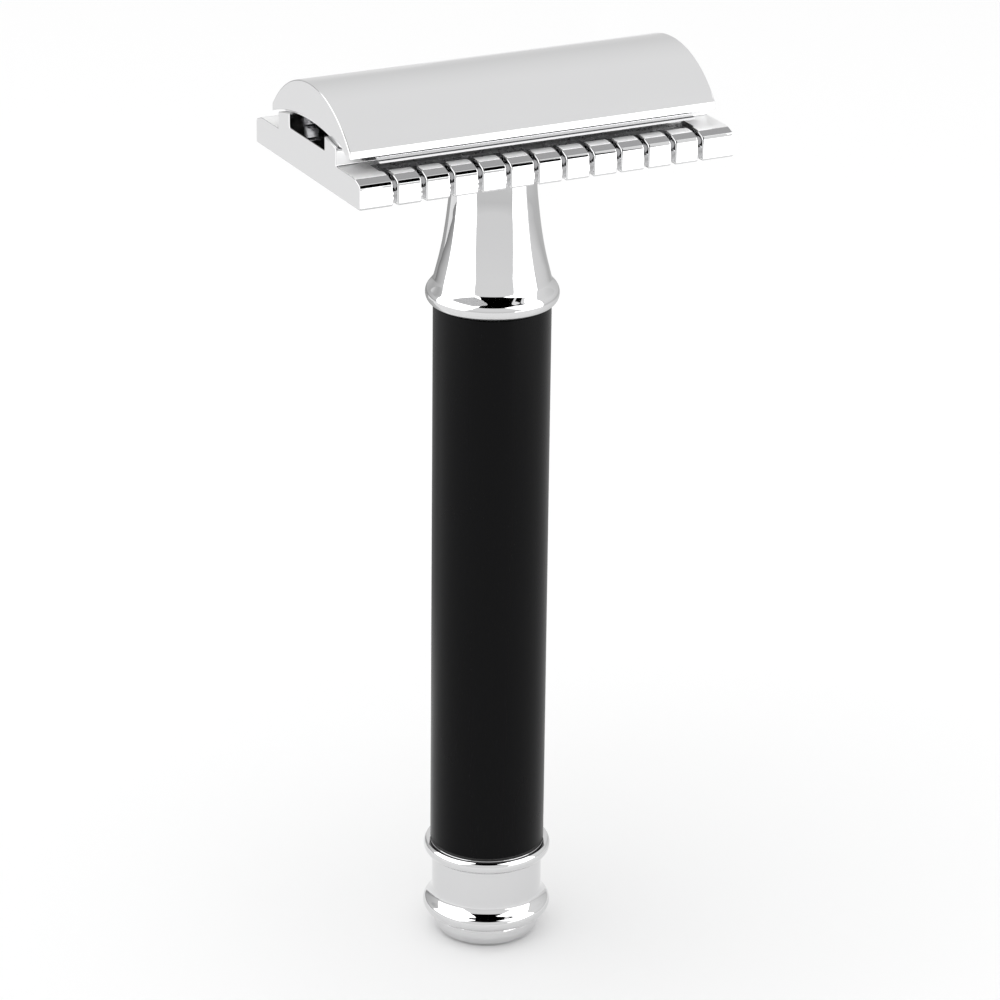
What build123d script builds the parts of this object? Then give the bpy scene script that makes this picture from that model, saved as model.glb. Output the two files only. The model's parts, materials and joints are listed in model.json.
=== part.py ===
from build123d import *
import math
import os

# Three-piece double-edge safety razor, standing upright on its foot.
# Millimetres, +Z up the handle, X along the head, origin at the centre of
# the foot's flat underside.
os.makedirs("parts", exist_ok=True)

# ---------------------------------------------------------------- dimensions
# handle
SLEEVE_R = 6.50            # black grip, outside
SLEEVE_BORE_R = 4.95
SLEEVE_Z0, SLEEVE_Z1 = 11.75, 76.60
SEAL_T = 0.30              # thin rubber washer at each end of the grip
SPIGOT_R = 4.90            # metal spigots that centre the grip
FOOT_FLAT_R = 5.20         # flat that the razor stands on
PLUG_R = 6.10
PLUG_TOP_Z = 2.25
PLUG_SPIGOT_R = 3.90
BEAD1_Z, BEAD1_A, BEAD1_R = 3.46, 6.30, 1.00     # bead above the foot
WAIST_R = 6.29
BEAD2_Z, BEAD2_A, BEAD2_R = 10.76, 6.32, 0.94    # collar under the grip
BEAD3_Z, BEAD3_A, BEAD3_R = 77.85, 6.10, 1.25    # collar above the grip
NECK_TOP_Z = 94.00
NECK_TOP_R = 4.62
COUNTERBORE_Z = 7.20
# tie bolt, M4 socket head
BOLT_R = 2.00
BOLT_TIP_Z = 81.00
BOLT_HEAD_R, BOLT_HEAD_H = 3.50, 2.80
WASHER_T = 0.80
BOLT_CLEAR_R = 2.20
# threaded bush and stud, M5 x 0.8 (threads drawn as plain cylinders)
BUSH_R = 3.50
BUSH_Z0 = 85.00
STUD_R = 2.45
STUD_BORE_R = 2.50
STUD_TIP_Z = 87.50
# head
PLATE_L, PLATE_HW = 44.00, 13.20
PLATE_Z0, LEDGE_Z = 94.00, 97.10
FRONT_TOP_Z = 96.35        # where the vertical edge rounds into the top
SHOULDER_Y = 11.25      # flat ledge ends here
FALL_Y, FALL_Z = 12.05, 97.02      # then the top falls gently, and more steeply
FACET_Y, FACET_Z = 12.965, 96.665   # down to a small facet along the front edge
RAIL_OUT_Y, RAIL_IN_Y = 7.30, 4.45
CHANNEL_Z = 98.00
TROUGH_Y0, TROUGH_Y1 = 8.05, 10.55
TROUGH_DEPTH = 0.70
TROUGH_HX = 18.50
SLOT_PITCH = 3.268
SLOT_W = 0.56
SLOT_N = 12
SLOT_Y0 = 9.70
SLOT_DEPTH = 0.55      # how far a slot goes in from the plate's front face
PIN_X, PIN_R, PIN_BORE_R = 13.00, 1.30, 1.38
ARCH_R = 29.00             # bend that the cap puts into the blade
ARCH_TOP_Z = 100.10
CAP_L, CAP_HW = 43.20, 9.80
CAP_TOP_Z = 103.98
CAP_TOP_R = 12.35
CAP_RIM_Z = 99.35
# blade, the standard size: 43 x 22 x 0.1
BLADE_L, BLADE_W, BLADE_T = 43.00, 22.00, 0.10
BLADE_EDGE_L = 37.20
BLADE_TAB_W = 13.60
GAP = 0.05                 # between the blade and what holds it

ARCH_C = ARCH_TOP_Z - ARCH_R


def ring(r_out, r_in, z0, z1):
    """Plain tube on the Z axis."""
    b = Pos(0, 0, z0) * Cylinder(r_out, z1 - z0, align=(Align.CENTER, Align.CENTER, Align.MIN))
    if r_in > 0:
        b -= Pos(0, 0, z0 - 1) * Cylinder(r_in, z1 - z0 + 2, align=(Align.CENTER, Align.CENTER, Align.MIN))
    return b


def turned(edges):
    """Solid of revolution about Z from a closed list of edges in the XZ plane."""
    return revolve(make_face(edges), Axis.Z)


def L(*pts):
    return [Line((a[0], 0, a[1]), (b[0], 0, b[1])) for a, b in zip(pts[:-1], pts[1:])]


def A(p, m, q):
    return ThreePointArc((p[0], 0, p[1]), (m[0], 0, m[1]), (q[0], 0, q[1]))


def on_circle(a, zc, r, ang):
    t = math.radians(ang)
    return (a + r * math.cos(t), zc + r * math.sin(t))


def save(solid, name):
    solid.label = name
    export_step(solid, f"parts/{name}.step")


# ---------------------------------------------------------------- foot plug
plug = turned(
    L((0, 0), (FOOT_FLAT_R, 0))
    + [A((FOOT_FLAT_R, 0), (FOOT_FLAT_R + 0.62, 0.36), (PLUG_R - 0.04, 1.15))]
    + L((PLUG_R - 0.04, 1.15), (PLUG_R, PLUG_TOP_Z - 0.12), (PLUG_R - 0.12, PLUG_TOP_Z),
        (PLUG_SPIGOT_R, PLUG_TOP_Z), (PLUG_SPIGOT_R, 3.35), (0, 3.35), (0, 0))
)

# ---------------------------------------------------------------- lower ferrule
b1_lo = on_circle(BEAD1_A, BEAD1_Z, BEAD1_R, -90)
b1_hi_z = BEAD1_Z + math.sqrt(BEAD1_R ** 2 - (WAIST_R + 0.42 - BEAD1_A) ** 2)
b1_hi = (WAIST_R + 0.42, b1_hi_z)
b1_m = on_circle(BEAD1_A, BEAD1_Z, BEAD1_R, 0)
fl1 = (WAIST_R, b1_hi_z + 0.75)
b2_lo_z = BEAD2_Z - math.sqrt(BEAD2_R ** 2 - (WAIST_R + 0.16 - BEAD2_A) ** 2)
b2_lo = (WAIST_R + 0.16, b2_lo_z)
b2_m = on_circle(BEAD2_A, BEAD2_Z, BEAD2_R, 0)
b2_hi_r = SLEEVE_R + 0.02
b2_hi = (b2_hi_r, BEAD2_Z + math.sqrt(BEAD2_R ** 2 - (b2_hi_r - BEAD2_A) ** 2))
seat_lo = SLEEVE_Z0 - SEAL_T
ferrule = turned(
    L((PLUG_SPIGOT_R, PLUG_TOP_Z), (b1_lo[0] - 0.25, PLUG_TOP_Z), (b1_lo[0], b1_lo[1]))
    + [A(b1_lo, b1_m, b1_hi)]
    + [A(b1_hi, (WAIST_R + 0.13, b1_hi_z + 0.26), fl1)]
    + L(fl1, (WAIST_R, b2_lo_z - 0.14), b2_lo)
    + [A(b2_lo, b2_m, b2_hi)]
    + L(b2_hi, (b2_hi_r, seat_lo), (SPIGOT_R, seat_lo), (SPIGOT_R, 16.2), (BOLT_CLEAR_R, 16.2),
        (BOLT_CLEAR_R, COUNTERBORE_Z), (PLUG_SPIGOT_R, COUNTERBORE_Z), (PLUG_SPIGOT_R, PLUG_TOP_Z))
)

# ---------------------------------------------------------------- bolt, washer, core, seals, grip
bolt_head_z = COUNTERBORE_Z - WASHER_T - BOLT_HEAD_H
bolt = ring(BOLT_R, 0, bolt_head_z + BOLT_HEAD_H, BOLT_TIP_Z) + ring(BOLT_HEAD_R, 0, bolt_head_z, bolt_head_z + BOLT_HEAD_H)
bolt -= extrude(Pos(0, 0, bolt_head_z) * RegularPolygon(1.75, 6), 1.6)
washer = ring(3.60, 2.10, COUNTERBORE_Z - WASHER_T, COUNTERBORE_Z)
core = ring(SPIGOT_R, BOLT_CLEAR_R, 16.2, 72.0)
lower_seal = ring(SLEEVE_R - 0.08, SPIGOT_R, seat_lo, SLEEVE_Z0)
upper_seal = ring(SLEEVE_R - 0.08, SPIGOT_R, SLEEVE_Z1, SLEEVE_Z1 + SEAL_T)
sleeve = ring(SLEEVE_R, SLEEVE_BORE_R, SLEEVE_Z0, SLEEVE_Z1)

# ---------------------------------------------------------------- neck
seat_hi = SLEEVE_Z1 + SEAL_T
b3_lo = (SLEEVE_R + 0.02, BEAD3_Z - math.sqrt(BEAD3_R ** 2 - (SLEEVE_R + 0.02 - BEAD3_A) ** 2))
b3_m = on_circle(BEAD3_A, BEAD3_Z, BEAD3_R, 0)
b3_hi_r = 6.78
b3_hi = (b3_hi_r, BEAD3_Z + math.sqrt(BEAD3_R ** 2 - (b3_hi_r - BEAD3_A) ** 2))
neck_pts = [(6.46, 79.55), (6.215, 80.5), (5.845, 82.0), (5.45, 84.0), (5.03, 87.0), (4.74, 90.0), (NECK_TOP_R, 93.6)]
neck = turned(
    L((BOLT_R + 0.02, 72.0), (SPIGOT_R, 72.0), (SPIGOT_R, seat_hi), (b3_lo[0], seat_hi), b3_lo)
    + [A(b3_lo, b3_m, b3_hi)]
    + [A(b3_hi, (6.57, b3_hi[1] + 0.16), neck_pts[0])]
    + [Spline(*[(r, 0, z) for r, z in neck_pts], tangents=[(-0.28, 0, 0.96), (-0.02, 0, 1.0)])]
    + L(neck_pts[-1], (NECK_TOP_R - 0.15, NECK_TOP_Z), (BUSH_R, NECK_TOP_Z), (BUSH_R, BUSH_Z0),
        (BOLT_R + 0.02, BUSH_Z0), (BOLT_R + 0.02, 72.0))
)
bush = ring(BUSH_R, STUD_BORE_R, BUSH_Z0, NECK_TOP_Z)

# ---------------------------------------------------------------- base plate
def arch_z(y, r=ARCH_R):
    return ARCH_C + math.sqrt(r * r - y * y)


def YZ(y, z):
    return (0, y, z)


rail_r = ARCH_R - 2 * GAP - BLADE_T
zo, zi = arch_z(RAIL_OUT_Y, rail_r), arch_z(RAIL_IN_Y, rail_r)


def plate_half(s):
    """One long side of the plate's section, from the bottom centre to the channel's middle."""
    e = [
        Line(YZ(0, PLATE_Z0), YZ(s * (PLATE_HW - 0.25), PLATE_Z0)),
        ThreePointArc(YZ(s * (PLATE_HW - 0.25), PLATE_Z0), YZ(s * (PLATE_HW - 0.073), PLATE_Z0 + 0.073), YZ(s * PLATE_HW, PLATE_Z0 + 0.25)),
        Line(YZ(s * PLATE_HW, PLATE_Z0 + 0.25), YZ(s * PLATE_HW, FRONT_TOP_Z)),
        Line(YZ(s * PLATE_HW, FRONT_TOP_Z), YZ(s * FACET_Y, FACET_Z)),
        Line(YZ(s * FACET_Y, FACET_Z), YZ(s * FALL_Y, FALL_Z)),
        Line(YZ(s * FALL_Y, FALL_Z), YZ(s * SHOULDER_Y, LEDGE_Z)),
        Line(YZ(s * SHOULDER_Y, LEDGE_Z), YZ(s * RAIL_OUT_Y, LEDGE_Z)),
        Line(YZ(s * RAIL_OUT_Y, LEDGE_Z), YZ(s * RAIL_OUT_Y, zo - 0.15)),
        Line(YZ(s * RAIL_OUT_Y, zo - 0.15), YZ(s * (RAIL_OUT_Y - 0.15), arch_z(RAIL_OUT_Y - 0.15, rail_r))),
        ThreePointArc(YZ(s * (RAIL_OUT_Y - 0.15), arch_z(RAIL_OUT_Y - 0.15, rail_r)), YZ(s * 5.9, arch_z(5.9, rail_r)), YZ(s * RAIL_IN_Y, zi)),
        Line(YZ(s * RAIL_IN_Y, zi), YZ(s * RAIL_IN_Y, CHANNEL_Z)),
        Line(YZ(s * RAIL_IN_Y, CHANNEL_Z), YZ(0, CHANNEL_Z)),
    ]
    return e


plate_face = make_face(plate_half(1) + plate_half(-1))
plate = Pos(-PLATE_L / 2, 0, 0) * extrude(plate_face, amount=PLATE_L, dir=(1, 0, 0))
# lather troughs, one along each side, with a rounded bottom
ty = (TROUGH_Y0 + TROUGH_Y1) / 2
tw = (TROUGH_Y1 - TROUGH_Y0) / 2
for s in (1, -1):
    trough_face = make_face([
        Line(YZ(s * TROUGH_Y0, LEDGE_Z + 1), YZ(s * TROUGH_Y0, LEDGE_Z - 0.12)),
        Spline(YZ(s * TROUGH_Y0, LEDGE_Z - 0.12), YZ(s * (ty - 0.75 * tw), LEDGE_Z - 0.52), YZ(s * ty, LEDGE_Z - TROUGH_DEPTH),
               YZ(s * (ty + 0.75 * tw), LEDGE_Z - 0.52), YZ(s * TROUGH_Y1, LEDGE_Z - 0.12), tangents=[(0, 0, -1), (0, 0, 1)]),
        Line(YZ(s * TROUGH_Y1, LEDGE_Z - 0.12), YZ(s * TROUGH_Y1, LEDGE_Z + 1)),
        Line(YZ(s * TROUGH_Y1, LEDGE_Z + 1), YZ(s * TROUGH_Y0, LEDGE_Z + 1)),
    ])
    plate -= Pos(-TROUGH_HX, 0, 0) * extrude(trough_face, amount=2 * TROUGH_HX, dir=(1, 0, 0))


def slot_cutter(x, s):
    """Slot with rounded tooth corners at its mouth. Its floor runs up the front face and back into the trough."""
    h, f = SLOT_W / 2, 0.22
    y0, y1 = SLOT_Y0, PLATE_HW
    pts = [
        Line((x - h, s * (y0 + h)), (x - h, s * (y1 - f))),
        ThreePointArc((x - h, s * (y1 - f)), (x - h - 0.293 * f, s * (y1 - 0.293 * f)), (x - h - f, s * y1)),
        Line((x - h - f, s * y1), (x - h - f, s * (y1 + 1))),
        Line((x - h - f, s * (y1 + 1)), (x + h + f, s * (y1 + 1))),
        Line((x + h + f, s * (y1 + 1)), (x + h + f, s * y1)),
        ThreePointArc((x + h + f, s * y1), (x + h + 0.293 * f, s * (y1 - 0.293 * f)), (x + h, s * (y1 - f))),
        Line((x + h, s * (y1 - f)), (x + h, s * (y0 + h))),
        ThreePointArc((x + h, s * (y0 + h)), (x, s * y0), (x - h, s * (y0 + h))),
    ]
    floor = make_face(Polyline(
        YZ(s * (y0 - 1), PLATE_Z0 - 2), YZ(s * (y1 - SLOT_DEPTH), PLATE_Z0 - 2), YZ(s * (y1 - SLOT_DEPTH), 95.55),
        YZ(s * 11.55, 96.35), YZ(s * (y0 - 1), 96.45), YZ(s * (y0 - 1), PLATE_Z0 - 2)))
    return Pos(0, 0, PLATE_Z0 - 1) * extrude(make_face(pts), amount=6, dir=(0, 0, 1)) - Pos(x - 1, 0, 0) * extrude(floor, amount=2, dir=(1, 0, 0))


cutters = []
for i in range(SLOT_N):
    for s in (1, -1):
        cutters.append(slot_cutter((i - (SLOT_N - 1) / 2) * SLOT_PITCH, s))
plate -= cutters
plate -= ring(STUD_R + 0.10, 0, PLATE_Z0 - 1, CHANNEL_Z + 1)
for x in (-PIN_X, PIN_X):
    plate -= Pos(x, 0, 0) * ring(PIN_BORE_R, 0, PLATE_Z0 - 1, CHANNEL_Z + 1)

# ---------------------------------------------------------------- blade
ro, ri = ARCH_R - GAP, ARCH_R - GAP - BLADE_T
half = BLADE_W / 2 / ((ro + ri) / 2)
def arc_pt(r, a):
    return YZ(r * math.sin(a), ARCH_C + r * math.cos(a))
blade_face = make_face([
    ThreePointArc(arc_pt(ro, -half), arc_pt(ro, 0), arc_pt(ro, half)),
    Line(arc_pt(ro, half), arc_pt(ri, half)),
    ThreePointArc(arc_pt(ri, half), arc_pt(ri, 0), arc_pt(ri, -half)),
    Line(arc_pt(ri, -half), arc_pt(ro, -half)),
])
blade = Pos(-BLADE_L / 2, 0, 0) * extrude(blade_face, amount=BLADE_L, dir=(1, 0, 0))
corner_x = (BLADE_L - BLADE_EDGE_L) / 2
for sx in (1, -1):
    for sy in (1, -1):
        blade -= Pos(sx * (BLADE_EDGE_L / 2 + corner_x), sy * (BLADE_TAB_W / 2 + 4), 98) * Box(2 * corner_x, 8, 12)
slot2d = Rectangle(34.0, 2.2) + Circle(3.15) + [Pos(x, 0) * Circle(1.75) for x in (-PIN_X, PIN_X)] + [Pos(x, 0) * Circle(1.1) for x in (-17, 17)]
blade -= Pos(0, 0, 96) * extrude(slot2d, amount=8)

# ---------------------------------------------------------------- cap, stud, pins
cap_c = CAP_TOP_Z - CAP_TOP_R
ye = 9.45
ze = cap_c + math.sqrt(CAP_TOP_R ** 2 - ye ** 2)
def cap_half(s):
    return [
        ThreePointArc(YZ(0, CAP_TOP_Z), YZ(s * 5.0, cap_c + math.sqrt(CAP_TOP_R ** 2 - 25)), YZ(s * ye, ze)),
        ThreePointArc(YZ(s * ye, ze), YZ(s * (CAP_HW - 0.10), CAP_RIM_Z - 0.12), YZ(s * CAP_HW, CAP_RIM_Z - 0.45)),
        Line(YZ(s * CAP_HW, CAP_RIM_Z - 0.45), YZ(s * CAP_HW, arch_z(CAP_HW) + 0.12)),
        Line(YZ(s * CAP_HW, arch_z(CAP_HW) + 0.12), YZ(s * (CAP_HW - 0.12), arch_z(CAP_HW - 0.12))),
    ]
under = [ThreePointArc(YZ(-(CAP_HW - 0.12), arch_z(CAP_HW - 0.12)), YZ(0, ARCH_TOP_Z), YZ(CAP_HW - 0.12, arch_z(CAP_HW - 0.12)))]
cap_face = make_face(cap_half(1) + cap_half(-1) + under)
cap = Pos(-CAP_L / 2, 0, 0) * extrude(cap_face, amount=CAP_L, dir=(1, 0, 0))
STUD_TOP_Z, PIN_TOP_Z, PIN_TIP_Z = 102.40, 101.60, 94.60
cap -= ring(STUD_R, 0, 95, STUD_TOP_Z)
for x in (-PIN_X, PIN_X):
    cap -= Pos(x, 0, 0) * ring(PIN_R, 0, 95, PIN_TOP_Z)
stud = ring(STUD_R, 0, STUD_TIP_Z, STUD_TOP_Z)
stud = chamfer(stud.edges().sort_by(Axis.Z)[0], 0.5)
pins = Compound([
    chamfer((Pos(x, 0, 0) * ring(PIN_R, 0, PIN_TIP_Z, PIN_TOP_Z)).edges().sort_by(Axis.Z)[0], 0.3)
    for x in (-PIN_X, PIN_X)
])

for node, name in (
    (plug, "foot_plug"), (ferrule, "lower_ferrule"), (bolt, "tie_bolt"), (washer, "bolt_spring_washer"),
    (core, "handle_core"), (lower_seal, "lower_seal_washer"), (upper_seal, "upper_seal_washer"),
    (sleeve, "grip_sleeve"), (neck, "neck"), (bush, "neck_thread_bush"), (plate, "base_plate"),
    (blade, "blade"), (cap, "cap"), (stud, "cap_stud"), (pins, "cap_locating_pins"),
):
    save(node, name)
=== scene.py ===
import json
import math

import bmesh
import bpy
from mathutils import Matrix, Vector

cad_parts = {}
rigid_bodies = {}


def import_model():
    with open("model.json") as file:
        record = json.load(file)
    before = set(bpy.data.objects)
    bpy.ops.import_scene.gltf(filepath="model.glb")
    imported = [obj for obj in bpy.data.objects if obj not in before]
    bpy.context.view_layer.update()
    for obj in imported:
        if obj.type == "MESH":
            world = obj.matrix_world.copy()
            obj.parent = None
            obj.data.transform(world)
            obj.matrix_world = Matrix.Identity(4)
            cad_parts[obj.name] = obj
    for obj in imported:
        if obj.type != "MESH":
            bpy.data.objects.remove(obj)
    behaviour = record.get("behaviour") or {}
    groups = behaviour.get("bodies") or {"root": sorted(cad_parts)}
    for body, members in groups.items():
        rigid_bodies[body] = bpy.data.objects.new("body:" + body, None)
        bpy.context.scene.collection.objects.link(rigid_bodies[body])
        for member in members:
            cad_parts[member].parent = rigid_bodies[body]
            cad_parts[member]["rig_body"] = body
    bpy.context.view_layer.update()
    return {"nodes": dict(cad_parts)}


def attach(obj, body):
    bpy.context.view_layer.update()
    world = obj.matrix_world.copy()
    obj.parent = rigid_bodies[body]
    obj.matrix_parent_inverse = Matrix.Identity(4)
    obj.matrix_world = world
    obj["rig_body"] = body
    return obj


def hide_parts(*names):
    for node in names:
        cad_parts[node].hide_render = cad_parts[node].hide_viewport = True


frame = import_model()
MM = 0.001

# =====================================================================================
# dimensions, in millimetres, in the frame's own axes
# =====================================================================================
SLEEVE_R, SLEEVE_BORE_R, SLEEVE_Z0, SLEEVE_Z1 = 6.50, 4.95, 11.75, 76.60
SEAL_T, SPIGOT_R = 0.30, 4.90
PLUG_R, PLUG_TOP_Z, PLUG_SPIGOT_R = 6.10, 2.25, 3.90
WAIST_R = 6.29
NECK_TOP_Z, NECK_TOP_R = 94.00, 4.62
STUD_R, STUD_TIP_Z = 2.45, 87.50
PLATE_L, PLATE_HW, PLATE_Z0, LEDGE_Z = 44.00, 13.20, 94.00, 97.10
RAIL_OUT_Y, RAIL_IN_Y, CHANNEL_Z = 7.30, 4.45, 98.00
TROUGH_Y0, TROUGH_Y1, TROUGH_D = 8.05, 10.55, 0.70
SLOT_PITCH, SLOT_N = 3.268, 12
PIN_X, PIN_R = 13.00, 1.30
ARCH_R, ARCH_TOP_Z = 29.00, 100.10
CAP_L, CAP_HW, CAP_TOP_Z, CAP_TOP_R = 43.20, 9.80, 103.98, 12.35
ARCH_C = ARCH_TOP_Z - ARCH_R


# =====================================================================================
# mesh helpers
# =====================================================================================
def arch_z(y, r=ARCH_R):
    return ARCH_C + math.sqrt(max(r * r - y * y, 0.0))


def arc2(c, r, a0, a1, n):
    """Points on a circle of centre c from angle a0 to a1, in degrees, both ends included."""
    return [
        (c[0] + r * math.cos(math.radians(a0 + (a1 - a0) * i / n)), c[1] + r * math.sin(math.radians(a0 + (a1 - a0) * i / n)))
        for i in range(n + 1)
    ]


def corner(p0, p1, p2, r, n=4):
    """The corner p1 between p0 and p2, rounded to radius r, as n + 1 points."""
    a, b, c = Vector(p0), Vector(p1), Vector(p2)
    u, v = (a - b).normalized(), (c - b).normalized()
    ang = u.angle(v)
    if ang > math.radians(178) or r <= 0:
        return [tuple(b)]
    t = min(r / math.tan(ang / 2), (a - b).length * 0.49, (c - b).length * 0.49)
    r = t * math.tan(ang / 2)
    s, e = b + u * t, b + v * t
    m = (u + v).normalized()
    ctr = b + m * (r / math.sin(ang / 2))
    a0 = math.atan2(*(s - ctr).yx)
    a1 = math.atan2(*(e - ctr).yx)
    d = (a1 - a0 + math.pi) % (2 * math.pi) - math.pi
    return [(ctr.x + r * math.cos(a0 + d * i / n), ctr.y + r * math.sin(a0 + d * i / n)) for i in range(n + 1)]


def rounded(points, closed=True):
    """points: (a, b, radius). Every corner is rounded to its own radius."""
    out, n = [], len(points)
    for i, p in enumerate(points):
        if not closed and i in (0, n - 1):
            out.append(p[:2])
            continue
        q0, q2 = points[i - 1], points[(i + 1) % n]
        out += corner(q0[:2], p[:2], q2[:2], p[2] if len(p) > 2 else 0.0)
    return out


def pchip(xs, ys, x):
    """Monotone cubic through the points (xs rising)."""
    n = len(xs)
    h = [xs[i + 1] - xs[i] for i in range(n - 1)]
    d = [(ys[i + 1] - ys[i]) / h[i] for i in range(n - 1)]
    m = [d[0]] + [0.0] * (n - 2) + [d[-1]]
    for i in range(1, n - 1):
        if d[i - 1] * d[i] > 0:
            w1, w2 = 2 * h[i] + h[i - 1], h[i] + 2 * h[i - 1]
            m[i] = (w1 + w2) / (w1 / d[i - 1] + w2 / d[i])
    i = max(0, min(n - 2, next((k for k in range(n - 1) if x <= xs[k + 1]), n - 2)))
    t = (x - xs[i]) / h[i]
    return (
        ys[i] * (1 + 2 * t) * (1 - t) ** 2 + h[i] * m[i] * t * (1 - t) ** 2
        + ys[i + 1] * t * t * (3 - 2 * t) + h[i] * m[i + 1] * t * t * (t - 1)
    )


def finish_mesh(name, bm, sharp=38.0, merge=1e-5):
    bmesh.ops.remove_doubles(bm, verts=bm.verts, dist=merge)
    bmesh.ops.dissolve_degenerate(bm, edges=bm.edges, dist=1e-6)
    bmesh.ops.recalc_face_normals(bm, faces=bm.faces)
    bmesh.ops.scale(bm, vec=(MM, MM, MM), verts=bm.verts)
    lim = math.radians(sharp)
    for f in bm.faces:
        f.smooth = True
    for e in bm.edges:
        e.smooth = not (len(e.link_faces) == 2 and e.calc_face_angle(0.0) > lim)
    me = bpy.data.meshes.new(name)
    bm.to_mesh(me)
    bm.free()
    ob = bpy.data.objects.new(name, me)
    bpy.context.scene.collection.objects.link(ob)
    return ob


def weigh(ob):
    """Large flats keep their own normals, so that they mirror flat and only the rounded edges bend a reflection."""
    m = ob.modifiers.new("weighted", "WEIGHTED_NORMAL")
    m.mode = "FACE_AREA"
    m.weight = 100
    m.keep_sharp = True
    return ob


def lathe(name, loop, segs=256, sharp=38.0):
    """Closed (r, z) loop turned about Z. Points at r = 0 become poles."""
    bm = bmesh.new()
    rings = []
    for r, z in loop:
        if r < 1e-6:
            v = bm.verts.new((0, 0, z))
            rings.append([v] * segs)
        else:
            rings.append([bm.verts.new((r * math.cos(2 * math.pi * k / segs), r * math.sin(2 * math.pi * k / segs), z)) for k in range(segs)])
    n = len(rings)
    for i in range(n):
        a, b = rings[i], rings[(i + 1) % n]
        if a[0] is a[1] and b[0] is b[1]:
            continue
        for k in range(segs):
            q = []
            for v in (a[k], a[(k + 1) % segs], b[(k + 1) % segs], b[k]):
                if v not in q:
                    q.append(v)
            if len(q) > 2:
                bm.faces.new(q)
    return finish_mesh(name, bm, sharp)


def signed_area(pts):
    return 0.5 * sum(pts[i][0] * pts[(i + 1) % len(pts)][1] - pts[(i + 1) % len(pts)][0] * pts[i][1] for i in range(len(pts)))


def inward(pts):
    """Unit inward normal at every vertex of a closed 2-D loop."""
    s = 1.0 if signed_area(pts) > 0 else -1.0
    out, n = [], len(pts)
    for i in range(n):
        a, b, c = Vector(pts[i - 1]), Vector(pts[i]), Vector(pts[(i + 1) % n])
        u, v = b - a, c - b
        u = u.normalized() if u.length > 1e-9 else v.normalized()
        v = v.normalized() if v.length > 1e-9 else u
        nu, nv = Vector((-u.y, u.x)) * s, Vector((-v.y, v.x)) * s
        m = nu + nv
        m = m.normalized() if m.length > 1e-6 else nu
        out.append(m / max(m.dot(nu), 0.5))
    return out


def loft(bm, sections, cap_ends=True):
    """sections: lists of 3-D points, all of one length, each a closed loop."""
    rows = [[bm.verts.new(p) for p in s] for s in sections]
    n = len(rows[0])
    for a, b in zip(rows[:-1], rows[1:]):
        for k in range(n):
            bm.faces.new((a[k], a[(k + 1) % n], b[(k + 1) % n], b[k]))
    if cap_ends:
        bm.faces.new(list(reversed(rows[0])))
        bm.faces.new(rows[-1])
    return rows


def bar_with_rounded_ends(name, loop, length, radii, n=6, sharp=38.0, mid=1):
    """A closed (y, z) loop run along X, its end edges rounded to each vertex's own radius."""
    bm = bmesh.new()
    nin = inward(loop)
    half = length / 2
    secs = []
    for k in range(n + 1):
        t = math.radians(90 * k / n)
        secs.append([
            (-(half - r + r * math.cos(t)), p[0] + q.x * r * (1 - math.sin(t)), p[1] + q.y * r * (1 - math.sin(t)))
            for p, q, r in zip(loop, nin, radii)
        ])
    rmax = max(radii)
    inner = [(-(half - rmax), 0)] if mid == 0 else []
    xs = [-(half - rmax - 0.01) + (2 * (half - rmax - 0.01)) * i / mid for i in range(mid + 1)]
    for x in xs:
        secs.append([(x, p[0], p[1]) for p in loop])
    for k in range(n, -1, -1):
        t = math.radians(90 * k / n)
        secs.append([
            (half - r + r * math.cos(t), p[0] + q.x * r * (1 - math.sin(t)), p[1] + q.y * r * (1 - math.sin(t)))
            for p, q, r in zip(loop, nin, radii)
        ])
    loft(bm, secs)
    return finish_mesh(name, bm, sharp)


def boolean(ob, cutters, op="DIFFERENCE"):
    for c in cutters:
        m = ob.modifiers.new("cut", "BOOLEAN")
        m.operation = op
        m.solver = "EXACT"
        m.object = c
        dg = bpy.context.evaluated_depsgraph_get()
        me = bpy.data.meshes.new_from_object(ob.evaluated_get(dg))
        ob.modifiers.clear()
        old = ob.data
        ob.data = me
        me.name = old.name
        bpy.data.meshes.remove(old)
        cm = c.data
        bpy.data.objects.remove(c)
        bpy.data.meshes.remove(cm)
    return ob


def resharpen(ob, sharp=38.0):
    bm = bmesh.new()
    bm.from_mesh(ob.data)
    bmesh.ops.remove_doubles(bm, verts=bm.verts, dist=1e-8)
    lim = math.radians(sharp)
    for f in bm.faces:
        f.smooth = True
    for e in bm.edges:
        e.smooth = not (len(e.link_faces) == 2 and e.calc_face_angle(0.0) > lim)
    bm.to_mesh(ob.data)
    bm.free()


def rod(name, r, z0, z1, x=0.0, segs=64):
    bm = bmesh.new()
    bmesh.ops.create_cone(bm, cap_ends=True, segments=segs, radius1=r, radius2=r, depth=z1 - z0)
    bmesh.ops.translate(bm, vec=(x, 0, (z0 + z1) / 2), verts=bm.verts)
    return finish_mesh(name, bm)


# =====================================================================================
# materials
# =====================================================================================
def new_mat(name):
    m = bpy.data.materials.new(name)
    m.use_nodes = True
    nt = m.node_tree
    return m, nt, nt.nodes["Principled BSDF"]


def node(nt, kind, **inputs):
    n = nt.nodes.new(kind)
    for k, v in inputs.items():
        n.inputs[k.replace("_", " ")].default_value = v
    return n


def noise(nt, scale, detail=2.0, rough=0.5, stretch=(1, 1, 1)):
    tc = nt.nodes.new("ShaderNodeTexCoord")
    mp = nt.nodes.new("ShaderNodeMapping")
    mp.inputs["Scale"].default_value = stretch
    nt.links.new(tc.outputs["Object"], mp.inputs["Vector"])
    n = nt.nodes.new("ShaderNodeTexNoise")
    n.inputs["Scale"].default_value = scale
    n.inputs["Detail"].default_value = detail
    n.inputs["Roughness"].default_value = rough
    nt.links.new(mp.outputs["Vector"], n.inputs["Vector"])
    return n.outputs["Fac"]


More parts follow.
